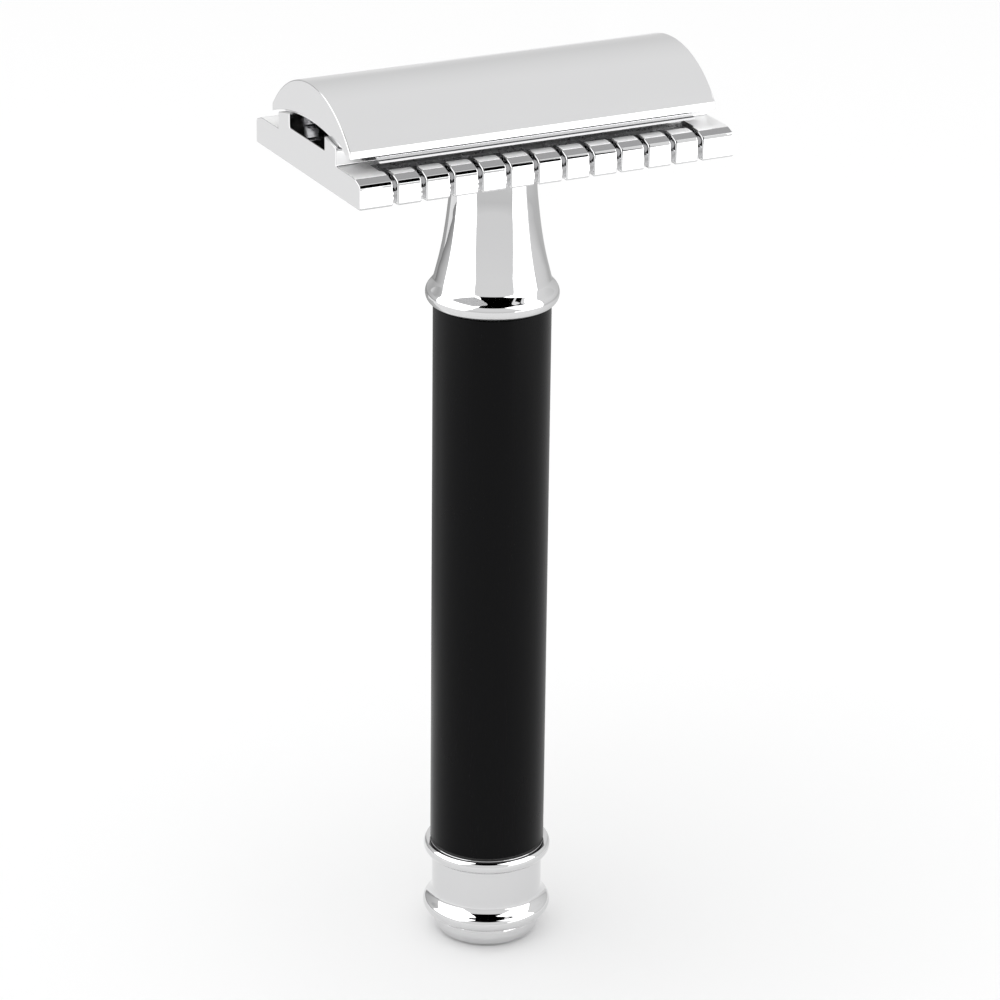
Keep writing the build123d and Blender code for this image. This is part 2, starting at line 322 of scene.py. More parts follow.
def remap(nt, value, lo, hi, from_lo=0.3, from_hi=0.7):
    m = nt.nodes.new("ShaderNodeMapRange")
    m.inputs["From Min"].default_value = from_lo
    m.inputs["From Max"].default_value = from_hi
    m.inputs["To Min"].default_value = lo
    m.inputs["To Max"].default_value = hi
    nt.links.new(value, m.inputs["Value"])
    return m.outputs["Result"]


def bump(nt, bsdf, height, strength, distance, chain=None):
    b = nt.nodes.new("ShaderNodeBump")
    b.inputs["Strength"].default_value = strength
    b.inputs["Distance"].default_value = distance
    nt.links.new(height, b.inputs["Height"])
    if chain is not None:
        nt.links.new(chain.outputs["Normal"], b.inputs["Normal"])
    nt.links.new(b.outputs["Normal"], bsdf.inputs["Normal"])
    return b


def chrome(name, tint=(0.70, 0.70, 0.705), r_lo=0.018, r_hi=0.05, wave=0.05):
    m, nt, b = new_mat(name)
    b.inputs["Metallic"].default_value = 1.0
    b.inputs["Base Color"].default_value = (*tint, 1)
    # polishing haze, a few millimetres across, with finer wipe marks over it
    haze = noise(nt, 160.0, 3.0, 0.55)
    nt.links.new(remap(nt, haze, r_lo, r_hi), b.inputs["Roughness"])
    swell = noise(nt, 260.0, 2.0, 0.5)
    first = bump(nt, b, swell, wave, 0.00004)
    fine = noise(nt, 5200.0, 2.0, 0.6)
    bump(nt, b, fine, 0.02, 0.000004, first)
    return m


def resin(name):
    m, nt, b = new_mat(name)
    b.inputs["Base Color"].default_value = (0.0024, 0.0024, 0.0028, 1)
    b.inputs["Specular IOR Level"].default_value = 0.085
    b.inputs["IOR"].default_value = 1.5
    haze = noise(nt, 120.0, 3.0, 0.55, (1, 1, 0.35))
    nt.links.new(remap(nt, haze, 0.24, 0.30), b.inputs["Roughness"])
    turned = noise(nt, 900.0, 2.0, 0.5, (0.25, 0.25, 1.0))
    bump(nt, b, turned, 0.04, 0.00001)
    return m


def steel(name, tint, r_lo, r_hi, stretch, scale=700.0):
    m, nt, b = new_mat(name)
    b.inputs["Metallic"].default_value = 1.0
    b.inputs["Base Color"].default_value = (*tint, 1)
    grain = noise(nt, scale, 3.0, 0.6, stretch)
    nt.links.new(remap(nt, grain, r_lo, r_hi), b.inputs["Roughness"])
    bump(nt, b, grain, 0.06, 0.00001)
    return m


def rubber(name):
    m, nt, b = new_mat(name)
    b.inputs["Base Color"].default_value = (0.012, 0.012, 0.012, 1)
    grain = noise(nt, 2500.0, 2.0, 0.6)
    nt.links.new(remap(nt, grain, 0.55, 0.75), b.inputs["Roughness"])
    bump(nt, b, grain, 0.15, 0.00002)
    return m


M_CAP = chrome("chrome_cap", r_lo=0.09, r_hi=0.14, wave=0.03)
M_PLATE = chrome("chrome_plate")
M_UNDER = steel("plate_underside", (0.66, 0.66, 0.665), 0.08, 0.14, (1, 1, 1), 2400.0)
# the trough: a satin copy of the plate's chrome whose low tint is painted shade
M_TROUGH_PAINTED_SHADE = steel("trough_painted_shade", (0.33, 0.33, 0.335), 0.24, 0.34, (1, 1, 1), 2400.0)
# tooth tops where they fall to the front edge: a satin copy of the chrome whose low tint is painted shade
M_TOOTH_TOP_PAINTED_SHADE = steel("tooth_top_painted_shade", (0.34, 0.34, 0.345), 0.16, 0.26, (1, 1, 1), 2400.0)
# the ledge: the rough satin is a real finish, but its tint, brighter than the plate's chrome, is painted light
M_LEDGE_PAINTED_LIGHT = steel("ledge_painted_light", (0.90, 0.90, 0.90), 0.50, 0.58, (1, 1, 1), 2400.0)
M_HANDLE = chrome("chrome_turned", wave=0.03)
M_RESIN = resin("black_resin")
M_BLADE = steel("blade_steel", (0.93, 0.93, 0.935), 0.06, 0.12, (0.15, 3.0, 1.0))
# a near-black band behind the honed edge: painted shade, not a finish of the steel
M_BLADE_PAINTED_SHADE = steel("blade_painted_shade_band", (0.07, 0.07, 0.075), 0.25, 0.40, (8.0, 1.0, 1.0), 1500.0)
M_HONED = steel("honed_edge", (0.92, 0.92, 0.93), 0.05, 0.12, (8.0, 1.0, 1.0), 1500.0)
M_STUD = steel("plated_thread", (0.72, 0.72, 0.70), 0.14, 0.28, (1, 1, 1))
M_BOLT = steel("bolt_steel", (0.56, 0.56, 0.56), 0.25, 0.42, (1, 1, 0.3))
M_BRASS = steel("turned_brass", (0.74, 0.56, 0.27), 0.16, 0.32, (0.2, 0.2, 4.0))
M_RUBBER = rubber("seal_rubber")


def give(ob, *mats):
    which = [f.material_index for f in ob.data.polygons]
    ob.data.materials.clear()
    for m in mats:
        ob.data.materials.append(m)
    ob.data.polygons.foreach_set("material_index", which)


# =====================================================================================
# handle: turned chrome fittings and the black grip
# =====================================================================================
def foot_plug():
    loop = rounded([
        (0, 0), (5.15, 0, 0.5), (5.80, 0.42, 0.9), (6.06, 1.22, 0.10), (6.10, 1.95, 0.10), (6.00, PLUG_TOP_Z, 0.06), (PLUG_SPIGOT_R - 0.02, PLUG_TOP_Z),
        (PLUG_SPIGOT_R - 0.02, 3.30, 0.1), (0, 3.30),
    ], closed=False)
    return lathe("foot_plug_chrome", loop)


def ferrule():
    b1 = (6.30, 3.46)
    b2 = (6.32, 10.76)
    loop = [(PLUG_SPIGOT_R, PLUG_TOP_Z), (6.02, PLUG_TOP_Z), (6.10, PLUG_TOP_Z + 0.04)]
    loop += arc2(b1, 1.00, -86, 47, 22)
    # hollow flare from the foot bead up to the waist
    p = loop[-1]
    q = (WAIST_R, 5.55)
    for i in range(1, 13):
        t = i / 12
        a, b, c = Vector(p), Vector((WAIST_R + 0.02, p[1] + (p[0] - WAIST_R - 0.02) * 0.93)), Vector(q)
        v = a * (1 - t) ** 2 + b * 2 * t * (1 - t) + c * t * t
        loop.append((v.x, v.y))
    s = arc2(b2, 0.94, -80, 46, 22)
    loop += corner(loop[-1], (WAIST_R, s[0][1] - 0.02), s[0], 0.10, 4)
    loop += s
    loop += [(s[-1][0] - (s[-1][0] - SLEEVE_R - 0.015) * i / 6, s[-1][1] + (SLEEVE_Z0 - SEAL_T - 0.04 - s[-1][1]) * (i / 6) ** 0.93) for i in range(1, 6)]
    loop += [(SLEEVE_R + 0.015, SLEEVE_Z0 - SEAL_T - 0.04), (SLEEVE_R + 0.015, SLEEVE_Z0 - SEAL_T), (SPIGOT_R, SLEEVE_Z0 - SEAL_T), (SPIGOT_R, 16.0), (SPIGOT_R - 0.2, 16.2), (2.2, 16.2), (2.2, 7.2), (PLUG_SPIGOT_R, 7.2)]
    return lathe("lower_ferrule_chrome", loop)


def neck():
    top_seat = SLEEVE_Z1 + SEAL_T
    b3 = (6.10, 77.85)
    bead = arc2(b3, 1.25, -68, 41, 24)
    zs = [79.55, 80.5, 82.0, 84.0, 87.0, 90.0, 93.7]
    rs = [6.455, 6.215, 5.845, 5.45, 5.03, 4.74, NECK_TOP_R]
    loop = [(2.02, 72.0), (SPIGOT_R - 0.2, 72.0), (SPIGOT_R, 72.2), (SPIGOT_R, top_seat), (SLEEVE_R + 0.015, top_seat), (SLEEVE_R + 0.015, bead[0][1] - 0.02)]
    loop += bead
    p, q = Vector(bead[-1]), Vector((rs[0], zs[0]))
    k = Vector((6.52, 79.29))
    for i in range(1, 12):
        t = i / 12
        v = p * (1 - t) ** 2 + k * 2 * t * (1 - t) + q * t * t
        loop.append((v.x, v.y))
    for i in range(0, 57):
        z = zs[0] + (zs[-1] - zs[0]) * i / 56
        loop.append((pchip(zs, rs, z), z))
    loop += [(NECK_TOP_R - 0.02, 93.86), (NECK_TOP_R - 0.12, NECK_TOP_Z), (3.5, NECK_TOP_Z), (3.5, 85.0), (2.02, 85.0)]
    return lathe("neck_chrome", loop)


def sleeve():
    loop = rounded([
        (SLEEVE_BORE_R, SLEEVE_Z0), (SLEEVE_R, SLEEVE_Z0, 0.05), (SLEEVE_R, 44.0), (SLEEVE_R, SLEEVE_Z1, 0.05), (SLEEVE_BORE_R, SLEEVE_Z1),
    ])
    return lathe("grip_sleeve_resin", loop, 288)


def seal(name, z0):
    loop = rounded([(SPIGOT_R, z0), (SLEEVE_R - 0.08, z0, 0.08), (SLEEVE_R - 0.08, z0 + SEAL_T, 0.08), (SPIGOT_R, z0 + SEAL_T)])
    return lathe(name, loop, 192)


# =====================================================================================
# head
# =====================================================================================
def cap():
    c = CAP_TOP_Z - CAP_TOP_R - 0.008
    ye = 9.56
    a = math.degrees(math.acos(ye / CAP_TOP_R))
    loop = arc2((0, c), CAP_TOP_R, a, 180 - a, 72)
    left = [(-CAP_HW, loop[-1][1] - 0.22, 0.16), (-CAP_HW, arch_z(CAP_HW) + 0.02, 0.12)]
    right = [(-p[0], p[1], p[2]) for p in reversed(left)]
    low = [(-9.62 + 19.24 * i / 40, arch_z(-9.62 + 19.24 * i / 40)) for i in range(41)]
    rim_l = corner(loop[-1], left[0][:2], left[1][:2], 0.14, 5) + corner(left[0][:2], left[1][:2], low[0], 0.05, 3)
    rim_r = [(-p[0], p[1]) for p in reversed(rim_l)]
    full = loop + rim_l + low + rim_r
    radii = []
    for y, z in full:
        on_top = z > arch_z(y) + 0.25
        radii.append(0.12 if on_top else 0.04)
    return bar_with_rounded_ends("cap_chrome", full, CAP_L, radii, n=6, sharp=42)


SLOT_H = 0.24
SLOT_D = 0.55
SLOT_R = 0.19
Y_S = 9.98
CREST_R = 0.42


def trough_z(y, f, y1=None):
    """Floor of the lather trough at y, f is its depth as a share of full."""
    y1 = y1 or TROUGH_Y1
    m, w = (TROUGH_Y0 + y1) / 2, (y1 - TROUGH_Y0) / 2
    t = min(abs(y - m) / w, 1.0)
    return LEDGE_Z - TROUGH_D * f * (1 - t ** 2.6) ** (1 / 2.2)


def crest_at(d):
    """How far the trough's outer edge is worn back at a distance d from a slot's wall."""
    u = max(1 - d / CREST_R, 0.0)
    return 0.42 * (1 - math.sqrt(max(1 - u * u, 0.0)))


def half_section(f, crest=0.0):
    """(inner bottom, outer, inner top) of one half of the plate's section."""
    rr = ARCH_R - 0.20
    inner_bottom = [(0.0, PLATE_Z0), (3.0, PLATE_Z0), (7.0, PLATE_Z0), (9.4, PLATE_Z0), (Y_S, PLATE_Z0)]
    outer = [(Y_S + 0.25, PLATE_Z0), (Y_S + 0.6, PLATE_Z0), (11.5, PLATE_Z0), (12.6, PLATE_Z0)]
    outer += arc2((PLATE_HW - 0.22, PLATE_Z0 + 0.22), 0.22, -90, 0, 5)
    outer += [(PLATE_HW, 94.27), (PLATE_HW, 95.0), (PLATE_HW, 95.9)]
    # the front edge is broken by a small facet, and the top falls away towards it
    way = [(PLATE_HW, 95.9, 0), (PLATE_HW, 96.34, 0.10), (PLATE_HW - 0.235, 96.665, 0.16), (PLATE_HW - 1.15, 97.02, 1.6), (11.25, LEDGE_Z, 0.5), (11.12, LEDGE_Z, 0)]
    for i in range(1, 5):
        outer += corner(way[i - 1][:2], way[i][:2], way[i + 1][:2], way[i][2], 5)
    y1 = TROUGH_Y1 + crest
    outer += [(y1 + 0.10, LEDGE_Z), (y1 + 0.03, LEDGE_Z - 0.02 * f)]
    ys = [y1 - 0.02 - (y1 - 0.02 - Y_S) * (i / 8) ** 1.0 for i in range(0, 8)]
    for i, y in enumerate(ys):
        outer.append((y, trough_z(y, f, y1)))
    inner_top = [(Y_S, trough_z(Y_S, f, y1))]
    n = 14
    for i in range(1, n + 1):
        y = Y_S - (Y_S - TROUGH_Y0 - 0.02) * i / n
        inner_top.append((y, trough_z(y, f, y1)))
    inner_top += [(TROUGH_Y0 - 0.05, LEDGE_Z - 0.03 * f), (TROUGH_Y0 - 0.14, LEDGE_Z), (RAIL_OUT_Y + 0.25, LEDGE_Z)]
    inner_top += [(RAIL_OUT_Y + 0.12 - 0.12 * math.sin(math.radians(a)), LEDGE_Z + 0.12 - 0.12 * math.cos(math.radians(a))) for a in (0, 22.5, 45, 67.5, 90)]
    zo = arch_z(RAIL_OUT_Y, rr)
    inner_top += [(RAIL_OUT_Y, 97.8), (RAIL_OUT_Y, zo - 0.30)]
    inner_top += corner((RAIL_OUT_Y, 97.8), (RAIL_OUT_Y, zo), (RAIL_OUT_Y - 0.8, arch_z(RAIL_OUT_Y - 0.8, rr)), 0.16, 4)
    for i in range(1, 10):
        y = RAIL_OUT_Y - 0.25 - (RAIL_OUT_Y - 0.25 - RAIL_IN_Y - 0.2) * i / 9
        inner_top.append((y, arch_z(y, rr)))
    zi = arch_z(RAIL_IN_Y, rr)
    inner_top += corner((RAIL_IN_Y + 0.5, arch_z(RAIL_IN_Y + 0.5, rr)), (RAIL_IN_Y, zi), (RAIL_IN_Y, 98.0), 0.14, 4)
    inner_top += [(RAIL_IN_Y, 98.6)]
    inner_top += [(RAIL_IN_Y - 0.15 + 0.15 * math.cos(math.radians(a)), CHANNEL_Z + 0.15 - 0.15 * math.sin(math.radians(a))) for a in (0, 22.5, 45, 67.5, 90)]
    inner_top += [(3.2, CHANNEL_Z), (1.6, CHANNEL_Z), (0.0, CHANNEL_Z)]
    return inner_bottom, outer, inner_top


def plate():
    TX, RE = 18.60, 0.35

    def f_of(x):
        a = abs(x)
        if a >= TX:
            return 0.0
        if a <= TX - RE:
            return 1.0
        return math.sqrt(max(1 - ((a - (TX - RE)) / RE) ** 2, 0.0))

    def half(x, offset=0.0, all_round=0.0, crest=0.0):
        """Three lists for +Y. offset pulls in the tooth's outline only, all_round the whole section."""
        ib, ou, it = half_section(f_of(x), crest)
        loop = ib + ou + it
        nin = inward(loop + [(-p[0], p[1]) for p in reversed(loop[1:-1])])[: len(loop)]
        out = []
        for i, (p, q) in enumerate(zip(loop, nin)):
            d = all_round
            if offset and len(ib) <= i < len(ib) + len(ou):
                k = min(p[0] - Y_S, 0.45) / 0.45
                d += offset * k
            out.append((p[0] + q.x * d, p[1] + q.y * d))
        a, b = len(ib), len(ib) + len(ou)
        return out[:a], out[a:b], out[b:]

    bm = bmesh.new()

    def ring(x, lists, outer_too=True):
        ib, ou, it = lists
        pts = ib + (ou if outer_too else []) + it
        up = [bm.verts.new((x, y, z)) for y, z in pts]
        dn = [up[0]] + [bm.verts.new((x, -y, z)) for y, z in pts[1:-1]] + [up[-1]]
        return up, dn

    def bridge(a, b):
        for ra, rb in zip(a, b):
            for k in range(len(ra) - 1):
                q = []
                for v in (ra[k], ra[k + 1], rb[k + 1], rb[k]):
                    if v not in q:
                        q.append(v)
                if len(q) > 2:
                    bm.faces.new(q)

    # stations along X, left to right
    full_x = []
    half_l, re = PLATE_L / 2 - 0.002, 0.06
    prev = None

    def go(r):
        nonlocal prev
        if prev is not None:
            bridge(prev, r)
        prev = r

    first = None
    for k in range(0, 6):
        t = math.radians(90 * k / 5)
        r = ring(-half_l + re - re * math.cos(t), half(-half_l, 0, re * (1 - math.sin(t))))
        if first is None:
            first = r
        go(r)
    # the solid end blocks: where the trough runs out and where the outermost slot's crest is worn back
    wall = (SLOT_N - 1) / 2 * SLOT_PITCH + SLOT_H
    marks = [half_l - re - 0.04, 20.5] + [TX - RE * v for v in (0.0, 0.03, 0.12, 0.3, 0.55, 0.8, 1.0)]
    marks += [wall + d for d in (CREST_R, 0.33, 0.26, 0.20)]
    ends = []
    for x in sorted(marks, reverse=True):
        if x > wall + SLOT_R + 0.008 and (not ends or ends[-1] - x > 0.008):
            ends.append(x)
    for x in ends:
        go(ring(-x, half(-x, 0.0, 0.0, crest_at(x - wall))))
    for i in range(SLOT_N):
        xc = (i - (SLOT_N - 1) / 2) * SLOT_PITCH
        for d in (CREST_R, 0.33, 0.26, 0.20) if i > 0 else ():
            x = xc - SLOT_H - d
            go(ring(x, half(x, 0.0, 0.0, crest_at(d))))
        for k in range(6, -1, -1):
            t = math.radians(90 * k / 6)
            x = xc - SLOT_H - SLOT_R + SLOT_R * math.cos(t)
            go(ring(x, half(x, SLOT_R * (1 - math.sin(t)), 0.0, crest_at(xc - SLOT_H - x))))
        # slot: its walls stand on a floor that runs up the front and back into the trough
        xl, xr = xc - SLOT_H, xc + SLOT_H
        ib, ou, it = half(xl, SLOT_R, 0.0, crest_at(0.0))
        base = rounded([
            (Y_S + 0.10, PLATE_Z0 + 0.02), (Y_S + 0.45, PLATE_Z0 + 0.15, 0.05), (PLATE_HW - SLOT_D, PLATE_Z0 + 0.15, 0.10), (PLATE_HW - SLOT_D, 95.45, 0.9),
            (11.55, 96.22, 0.6), (10.50, 96.25, 0.4), (Y_S + 0.12, 96.31),
        ], closed=False)
        for x in (xl, xr):
            for s in (1, -1):
                bm.faces.new([bm.verts.new((x, s * y, z)) for y, z in [ib[-1]] + ou + [it[0]] + list(reversed(base))])
        prev = None
        ib, _, it = half(xc, 0.0, 0.0, crest_at(0.0))
        for x in (xl, xc, xr):
            go(ring(x, (ib, base, it)))
        prev = None
        for k in range(0, 7):
            t = math.radians(90 * k / 6)
            x = xc + SLOT_H + SLOT_R - SLOT_R * math.cos(t)
            go(ring(x, half(x, SLOT_R * (1 - math.sin(t)), 0.0, crest_at(x - xc - SLOT_H))))
        for d in (0.20, 0.26, 0.33, CREST_R) if i < SLOT_N - 1 else ():
            x = xc + SLOT_H + d
            go(ring(x, half(x, 0.0, 0.0, crest_at(d))))
        if i < SLOT_N - 1:
            go(ring(xc + SLOT_PITCH / 2, half(xc + SLOT_PITCH / 2)))
    for x in reversed(ends):
        go(ring(x, half(x, 0.0, 0.0, crest_at(x - wall))))
    for k in range(5, -1, -1):
        t = math.radians(90 * k / 5)
        go(ring(half_l - re + re * math.cos(t), half(half_l, 0, re * (1 - math.sin(t)))))
    for up, dn in (first, prev):
        bm.faces.new(up + list(reversed(dn[1:-1])))
    ob = finish_mesh("base_plate_chrome", bm, sharp=44, merge=1e-4)
    holes = [rod("h", STUD_R + 0.10, 90, 99)] + [rod("h", PIN_R + 0.08, 90, 99, x) for x in (-PIN_X, PIN_X)]
    boolean(ob, holes)
    resharpen(ob, 44)
    for f in ob.data.polygons:
        if f.normal.z < -0.97 and f.center.z < (PLATE_Z0 + 0.03) * MM:
            f.material_index = 1
        # trough floor: the darker copy of the chrome, painted shade
        elif f.normal.z > 0.35 and f.center.z < (LEDGE_Z - 0.06) * MM and TROUGH_Y0 * MM < abs(f.center.y) < (TROUGH_Y1 + 0.3) * MM:
            f.material_index = 2
        # ledge tops: the brighter satin copy of the chrome, painted light
        elif f.normal.z > 0.97 and abs(f.center.z - LEDGE_Z * MM) < 0.03 * MM and (RAIL_OUT_Y + 0.1) * MM < abs(f.center.y) < 11.3 * MM:
            f.material_index = 3
        # flat tops towards the front edge: the same brighter copy, painted light
        elif f.normal.z > 0.985 and f.center.z > (LEDGE_Z - 0.12) * MM and 11.2 * MM < abs(f.center.y) < 12.15 * MM:
            f.material_index = 3
        # tooth tops near the front edge: the darker copy of the chrome, painted shade
        elif 0.86 < f.normal.z < 0.975 and f.center.z > 96.6 * MM and 12.0 * MM < abs(f.center.y) < 13.0 * MM:
            f.material_index = 4
    return ob


def blade():
    ro, t = ARCH_R - 0.05, 0.10
    rm = ro - t / 2
    bm = bmesh.new()
    hw, hone = 11.0, 0.50
    ys = [-hw, -hw + 0.30, -hw + hone] + [-hw + hone + (2 * (hw - hone)) * i / 56 for i in range(1, 56)] + [hw - hone, hw - 0.30, hw]

    def thick(y):
        d = hw - abs(y)
        return 0.012 + (t - 0.012) * min(d / hone, 1.0)

    loop = [(y, thick(y) / 2) for y in ys] + [(y, -thick(y) / 2) for y in reversed(ys)]
    loft(bm, [[(x, y, z) for y, z in loop] for x in (-21.5, -18.6, 0, 18.6, 21.5)])
    bmesh.ops.recalc_face_normals(bm, faces=bm.faces)
    me = bpy.data.meshes.new("blade_steel")
    bm.to_mesh(me)
    bm.free()
    ob = bpy.data.objects.new("blade_steel_strip", me)
    bpy.context.scene.collection.objects.link(ob)

    def prism(pts):
        b = bmesh.new()
        lo = [b.verts.new((x, y, -2)) for x, y in pts]
        hi = [b.verts.new((x, y, 2)) for x, y in pts]
        n = len(pts)
        b.faces.new(list(reversed(lo)))
        b.faces.new(hi)
        for k in range(n):
            b.faces.new((lo[k], lo[(k + 1) % n], hi[(k + 1) % n], hi[k]))
        bmesh.ops.recalc_face_normals(b, faces=b.faces)
        m = bpy.data.meshes.new("c")
        b.to_mesh(m)
        b.free()
        o = bpy.data.objects.new("c", m)
        bpy.context.scene.collection.objects.link(o)
        return o

    cuts = []
    for sx in (1, -1):
        for sy in (1, -1):
            pts = [(18.6, 14), (18.6, 7.3), (19.1, 6.8), (23, 6.8), (23, 14)]
            cuts.append(prism([(sx * x, sy * y) for x, y in (pts if sx * sy > 0 else list(reversed(pts)))]))
    # the middle opening: one long slot with a wide centre and a lobe for each pin
    top = []
    for cx, r in ((17.0, 1.1), (PIN_X, 1.75), (0.0, 3.15), (-PIN_X, 1.75), (-17.0, 1.1)):
        a0 = math.degrees(math.asin(min(1.1 / r, 1)))
        if cx == 17.0:
            top += arc2((cx, 0), r, 0, 90, 10)
        elif cx == -17.0:
            top += arc2((cx, 0), r, 90, 180, 10)
        else:
            top += arc2((cx, 0), r, a0, 180 - a0, 20)
    opening = top + [(x, -y) for x, y in reversed(top[1:-1])]
    cuts.append(prism(opening))
    boolean(ob, cuts)
    bm = bmesh.new()
    bm.from_mesh(ob.data)
    for v in bm.verts:
        a = v.co.y / rm
        r = rm + v.co.z
        v.co = Vector((v.co.x, r * math.sin(a), ARCH_C + r * math.cos(a))) * MM
    lim = math.radians(30)
    for f in bm.faces:
        f.smooth = True
        c = f.calc_center_median() / MM
        s = abs(rm * math.atan2(c.y, c.z - ARCH_C))
        # faces 0.30 to 0.52 mm from each edge take the near-black painted shade; the outer 0.30 mm is the honed edge
        if s > hw - hone - 0.02:
            f.material_index = 1 if s > hw - 0.30 else 2
    for e in bm.edges:
        e.smooth = not (len(e.link_faces) == 2 and (e.calc_face_angle(0.0) > lim or e.link_faces[0].material_index != e.link_faces[1].material_index))
    bm.to_mesh(ob.data)
    bm.free()
    return ob


def stud():
    """M5 x 0.8 thread, cut as a helix, on the cap's stud; plain where it enters the cap."""
    pitch, root, crest = 0.8, 2.02, STUD_R
    z0, z1, z2 = STUD_TIP_Z, 99.6, 102.4
    segs, per = 72, 10
    bm = bmesh.new()
    rows = []
    nz = int((z1 - z0) / pitch * per)
    for i in range(nz + 1):
        z = z0 + (z1 - z0) * i / nz
        row = []
        for k in range(segs):
            a = 2 * math.pi * k / segs
            u = ((z / pitch) - k / segs) % 1.0
            w = abs(2 * u - 1)                      # 0 at the crest's middle
            h = min(max((w - 0.12) / 0.76, 0.0), 1.0)
            r = crest - (crest - root) * h
            r = min(r, root - 0.05 + (z - z0) * 1.0 + 0.12)   # chamfered tip
            if z > z1 - 0.5:
                r = r + (crest - r) * (z - (z1 - 0.5)) / 0.5
            row.append(bm.verts.new((r * math.cos(a), r * math.sin(a), z)))
        rows.append(row)
    rows.append([bm.verts.new((crest * math.cos(2 * math.pi * k / segs), crest * math.sin(2 * math.pi * k / segs), z2)) for k in range(segs)])
    for a, b in zip(rows[:-1], rows[1:]):
        for k in range(segs):
            bm.faces.new((a[k], a[(k + 1) % segs], b[(k + 1) % segs], b[k]))
    bm.faces.new(list(reversed(rows[0])))
    bm.faces.new(rows[-1])
    return finish_mesh("cap_stud_thread", bm, 50)


def pins():
    bm = bmesh.new()
    for x in (-PIN_X, PIN_X):
        loop = [(0, 94.6)] + rounded([(0, 94.6), (PIN_R, 94.6, 0.25), (PIN_R, 101.6), (0, 101.6)], closed=False)[1:-1] + [(0, 101.6)]
        segs = 64
        rings = []
        for r, z in loop:
            rings.append([bm.verts.new((x, 0, z))] * segs if r < 1e-6 else [bm.verts.new((x + r * math.cos(2 * math.pi * k / segs), r * math.sin(2 * math.pi * k / segs), z)) for k in range(segs)])
        for a, b in zip(rings[:-1], rings[1:]):
            for k in range(segs):
                q = []
                for v in (a[k], a[(k + 1) % segs], b[(k + 1) % segs], b[k]):
                    if v not in q:
                        q.append(v)
                if len(q) > 2:
                    bm.faces.new(q)
    return finish_mesh("cap_pins_chrome", bm)


def put(ob, node_name, mats):
    give(ob, *mats)
    weigh(ob)
    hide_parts(node_name)
    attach(ob, frame["nodes"][node_name]["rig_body"])
    return ob


put(foot_plug(), "foot_plug", [M_HANDLE])
put(ferrule(), "lower_ferrule", [M_HANDLE])
put(neck(), "neck", [M_HANDLE])
put(sleeve(), "grip_sleeve", [M_RESIN])
put(seal("lower_seal_rubber", SLEEVE_Z0 - SEAL_T), "lower_seal_washer", [M_RUBBER])
put(seal("upper_seal_rubber", SLEEVE_Z1), "upper_seal_washer", [M_RUBBER])
put(plate(), "base_plate", [M_PLATE, M_UNDER, M_TROUGH_PAINTED_SHADE, M_LEDGE_PAINTED_LIGHT, M_TOOTH_TOP_PAINTED_SHADE])
put(cap(), "cap", [M_CAP])
put(blade(), "blade", [M_BLADE, M_HONED, M_BLADE_PAINTED_SHADE])
put(stud(), "cap_stud", [M_STUD])
put(pins(), "cap_locating_pins", [M_PLATE])
for n, m in (("tie_bolt", M_BOLT), ("bolt_spring_washer", M_BOLT), ("handle_core", M_BRASS), ("neck_thread_bush", M_BRASS)):
    give(frame["nodes"][n], m)

# =====================================================================================
# camera: a long lens, a little above, turned so that the head's left end is nearer
# =====================================================================================
YAW = 0.4694
CAM_D, CAM_H = 418.27 * MM, 225.17 * MM
PAN, TILT, ROLL = 0.0026, -0.3900, 0.0115
toward = Vector((-math.sin(YAW), -math.cos(YAW), 0))       # from the handle's axis to the camera, level
rightward = Vector((math.cos(YAW), -math.sin(YAW), 0))     # the camera's right


def cam_frame():
    away = -toward
    fwd = (rightward * math.sin(PAN) + away * math.cos(PAN)) * math.cos(TILT) + Vector((0, 0, math.sin(TILT)))
    right = fwd.cross(Vector((0, 0, 1))).normalized()
    up = right.cross(fwd)
    r2 = right * math.cos(ROLL) + up * math.sin(ROLL)
    u2 = -right * math.sin(ROLL) + up * math.cos(ROLL)
    return fwd, r2, u2


fwd, r2, u2 = cam_frame()
cam_data = bpy.data.cameras.new("camera")
cam_data.sensor_width = 36.0
cam_data.lens = 4064.9 * 36.0 / 1000.0
cam_data.clip_start, cam_data.clip_end = 0.02, 20.0
cam = bpy.data.objects.new("camera", cam_data)
bpy.context.scene.collection.objects.link(cam)
cam.matrix_world = Matrix.Translation(toward * CAM_D + Vector((0, 0, CAM_H))) @ Matrix((
    (r2.x, u2.x, -fwd.x, 0), (r2.y, u2.y, -fwd.y, 0), (r2.z, u2.z, -fwd.z, 0), (0, 0, 0, 1)))
bpy.context.scene.camera = cam

# =====================================================================================
# studio: pale floor, soft top light, and white, grey and black cards for the chrome
# =====================================================================================
bpy.context.scene.view_settings.view_transform = "Standard"
bpy.context.scene.view_settings.look = "None"
bpy.context.scene.cycles.max_bounces = 16
bpy.context.scene.cycles.glossy_bounces = 12

bm = bmesh.new()
bmesh.ops.create_circle(bm, cap_ends=True, segments=96, radius=6.0)
me = bpy.data.meshes.new("floor")
bm.to_mesh(me)
bm.free()
floor = bpy.data.objects.new("floor", me)
bpy.context.scene.collection.objects.link(floor)
m, nt, b = new_mat("pale_floor")
b.inputs["Base Color"].default_value = (0.94, 0.94, 0.94, 1)
b.inputs["Roughness"].default_value = 0.85
b.inputs["Specular IOR Level"].default_value = 0.1
floor.data.materials.append(m)

world = bpy.data.worlds.new("studio")
world.use_nodes = True
world.node_tree.nodes["Background"].inputs["Color"].default_value = (1, 1, 1, 1)
world.node_tree.nodes["Background"].inputs["Strength"].default_value = 1.0
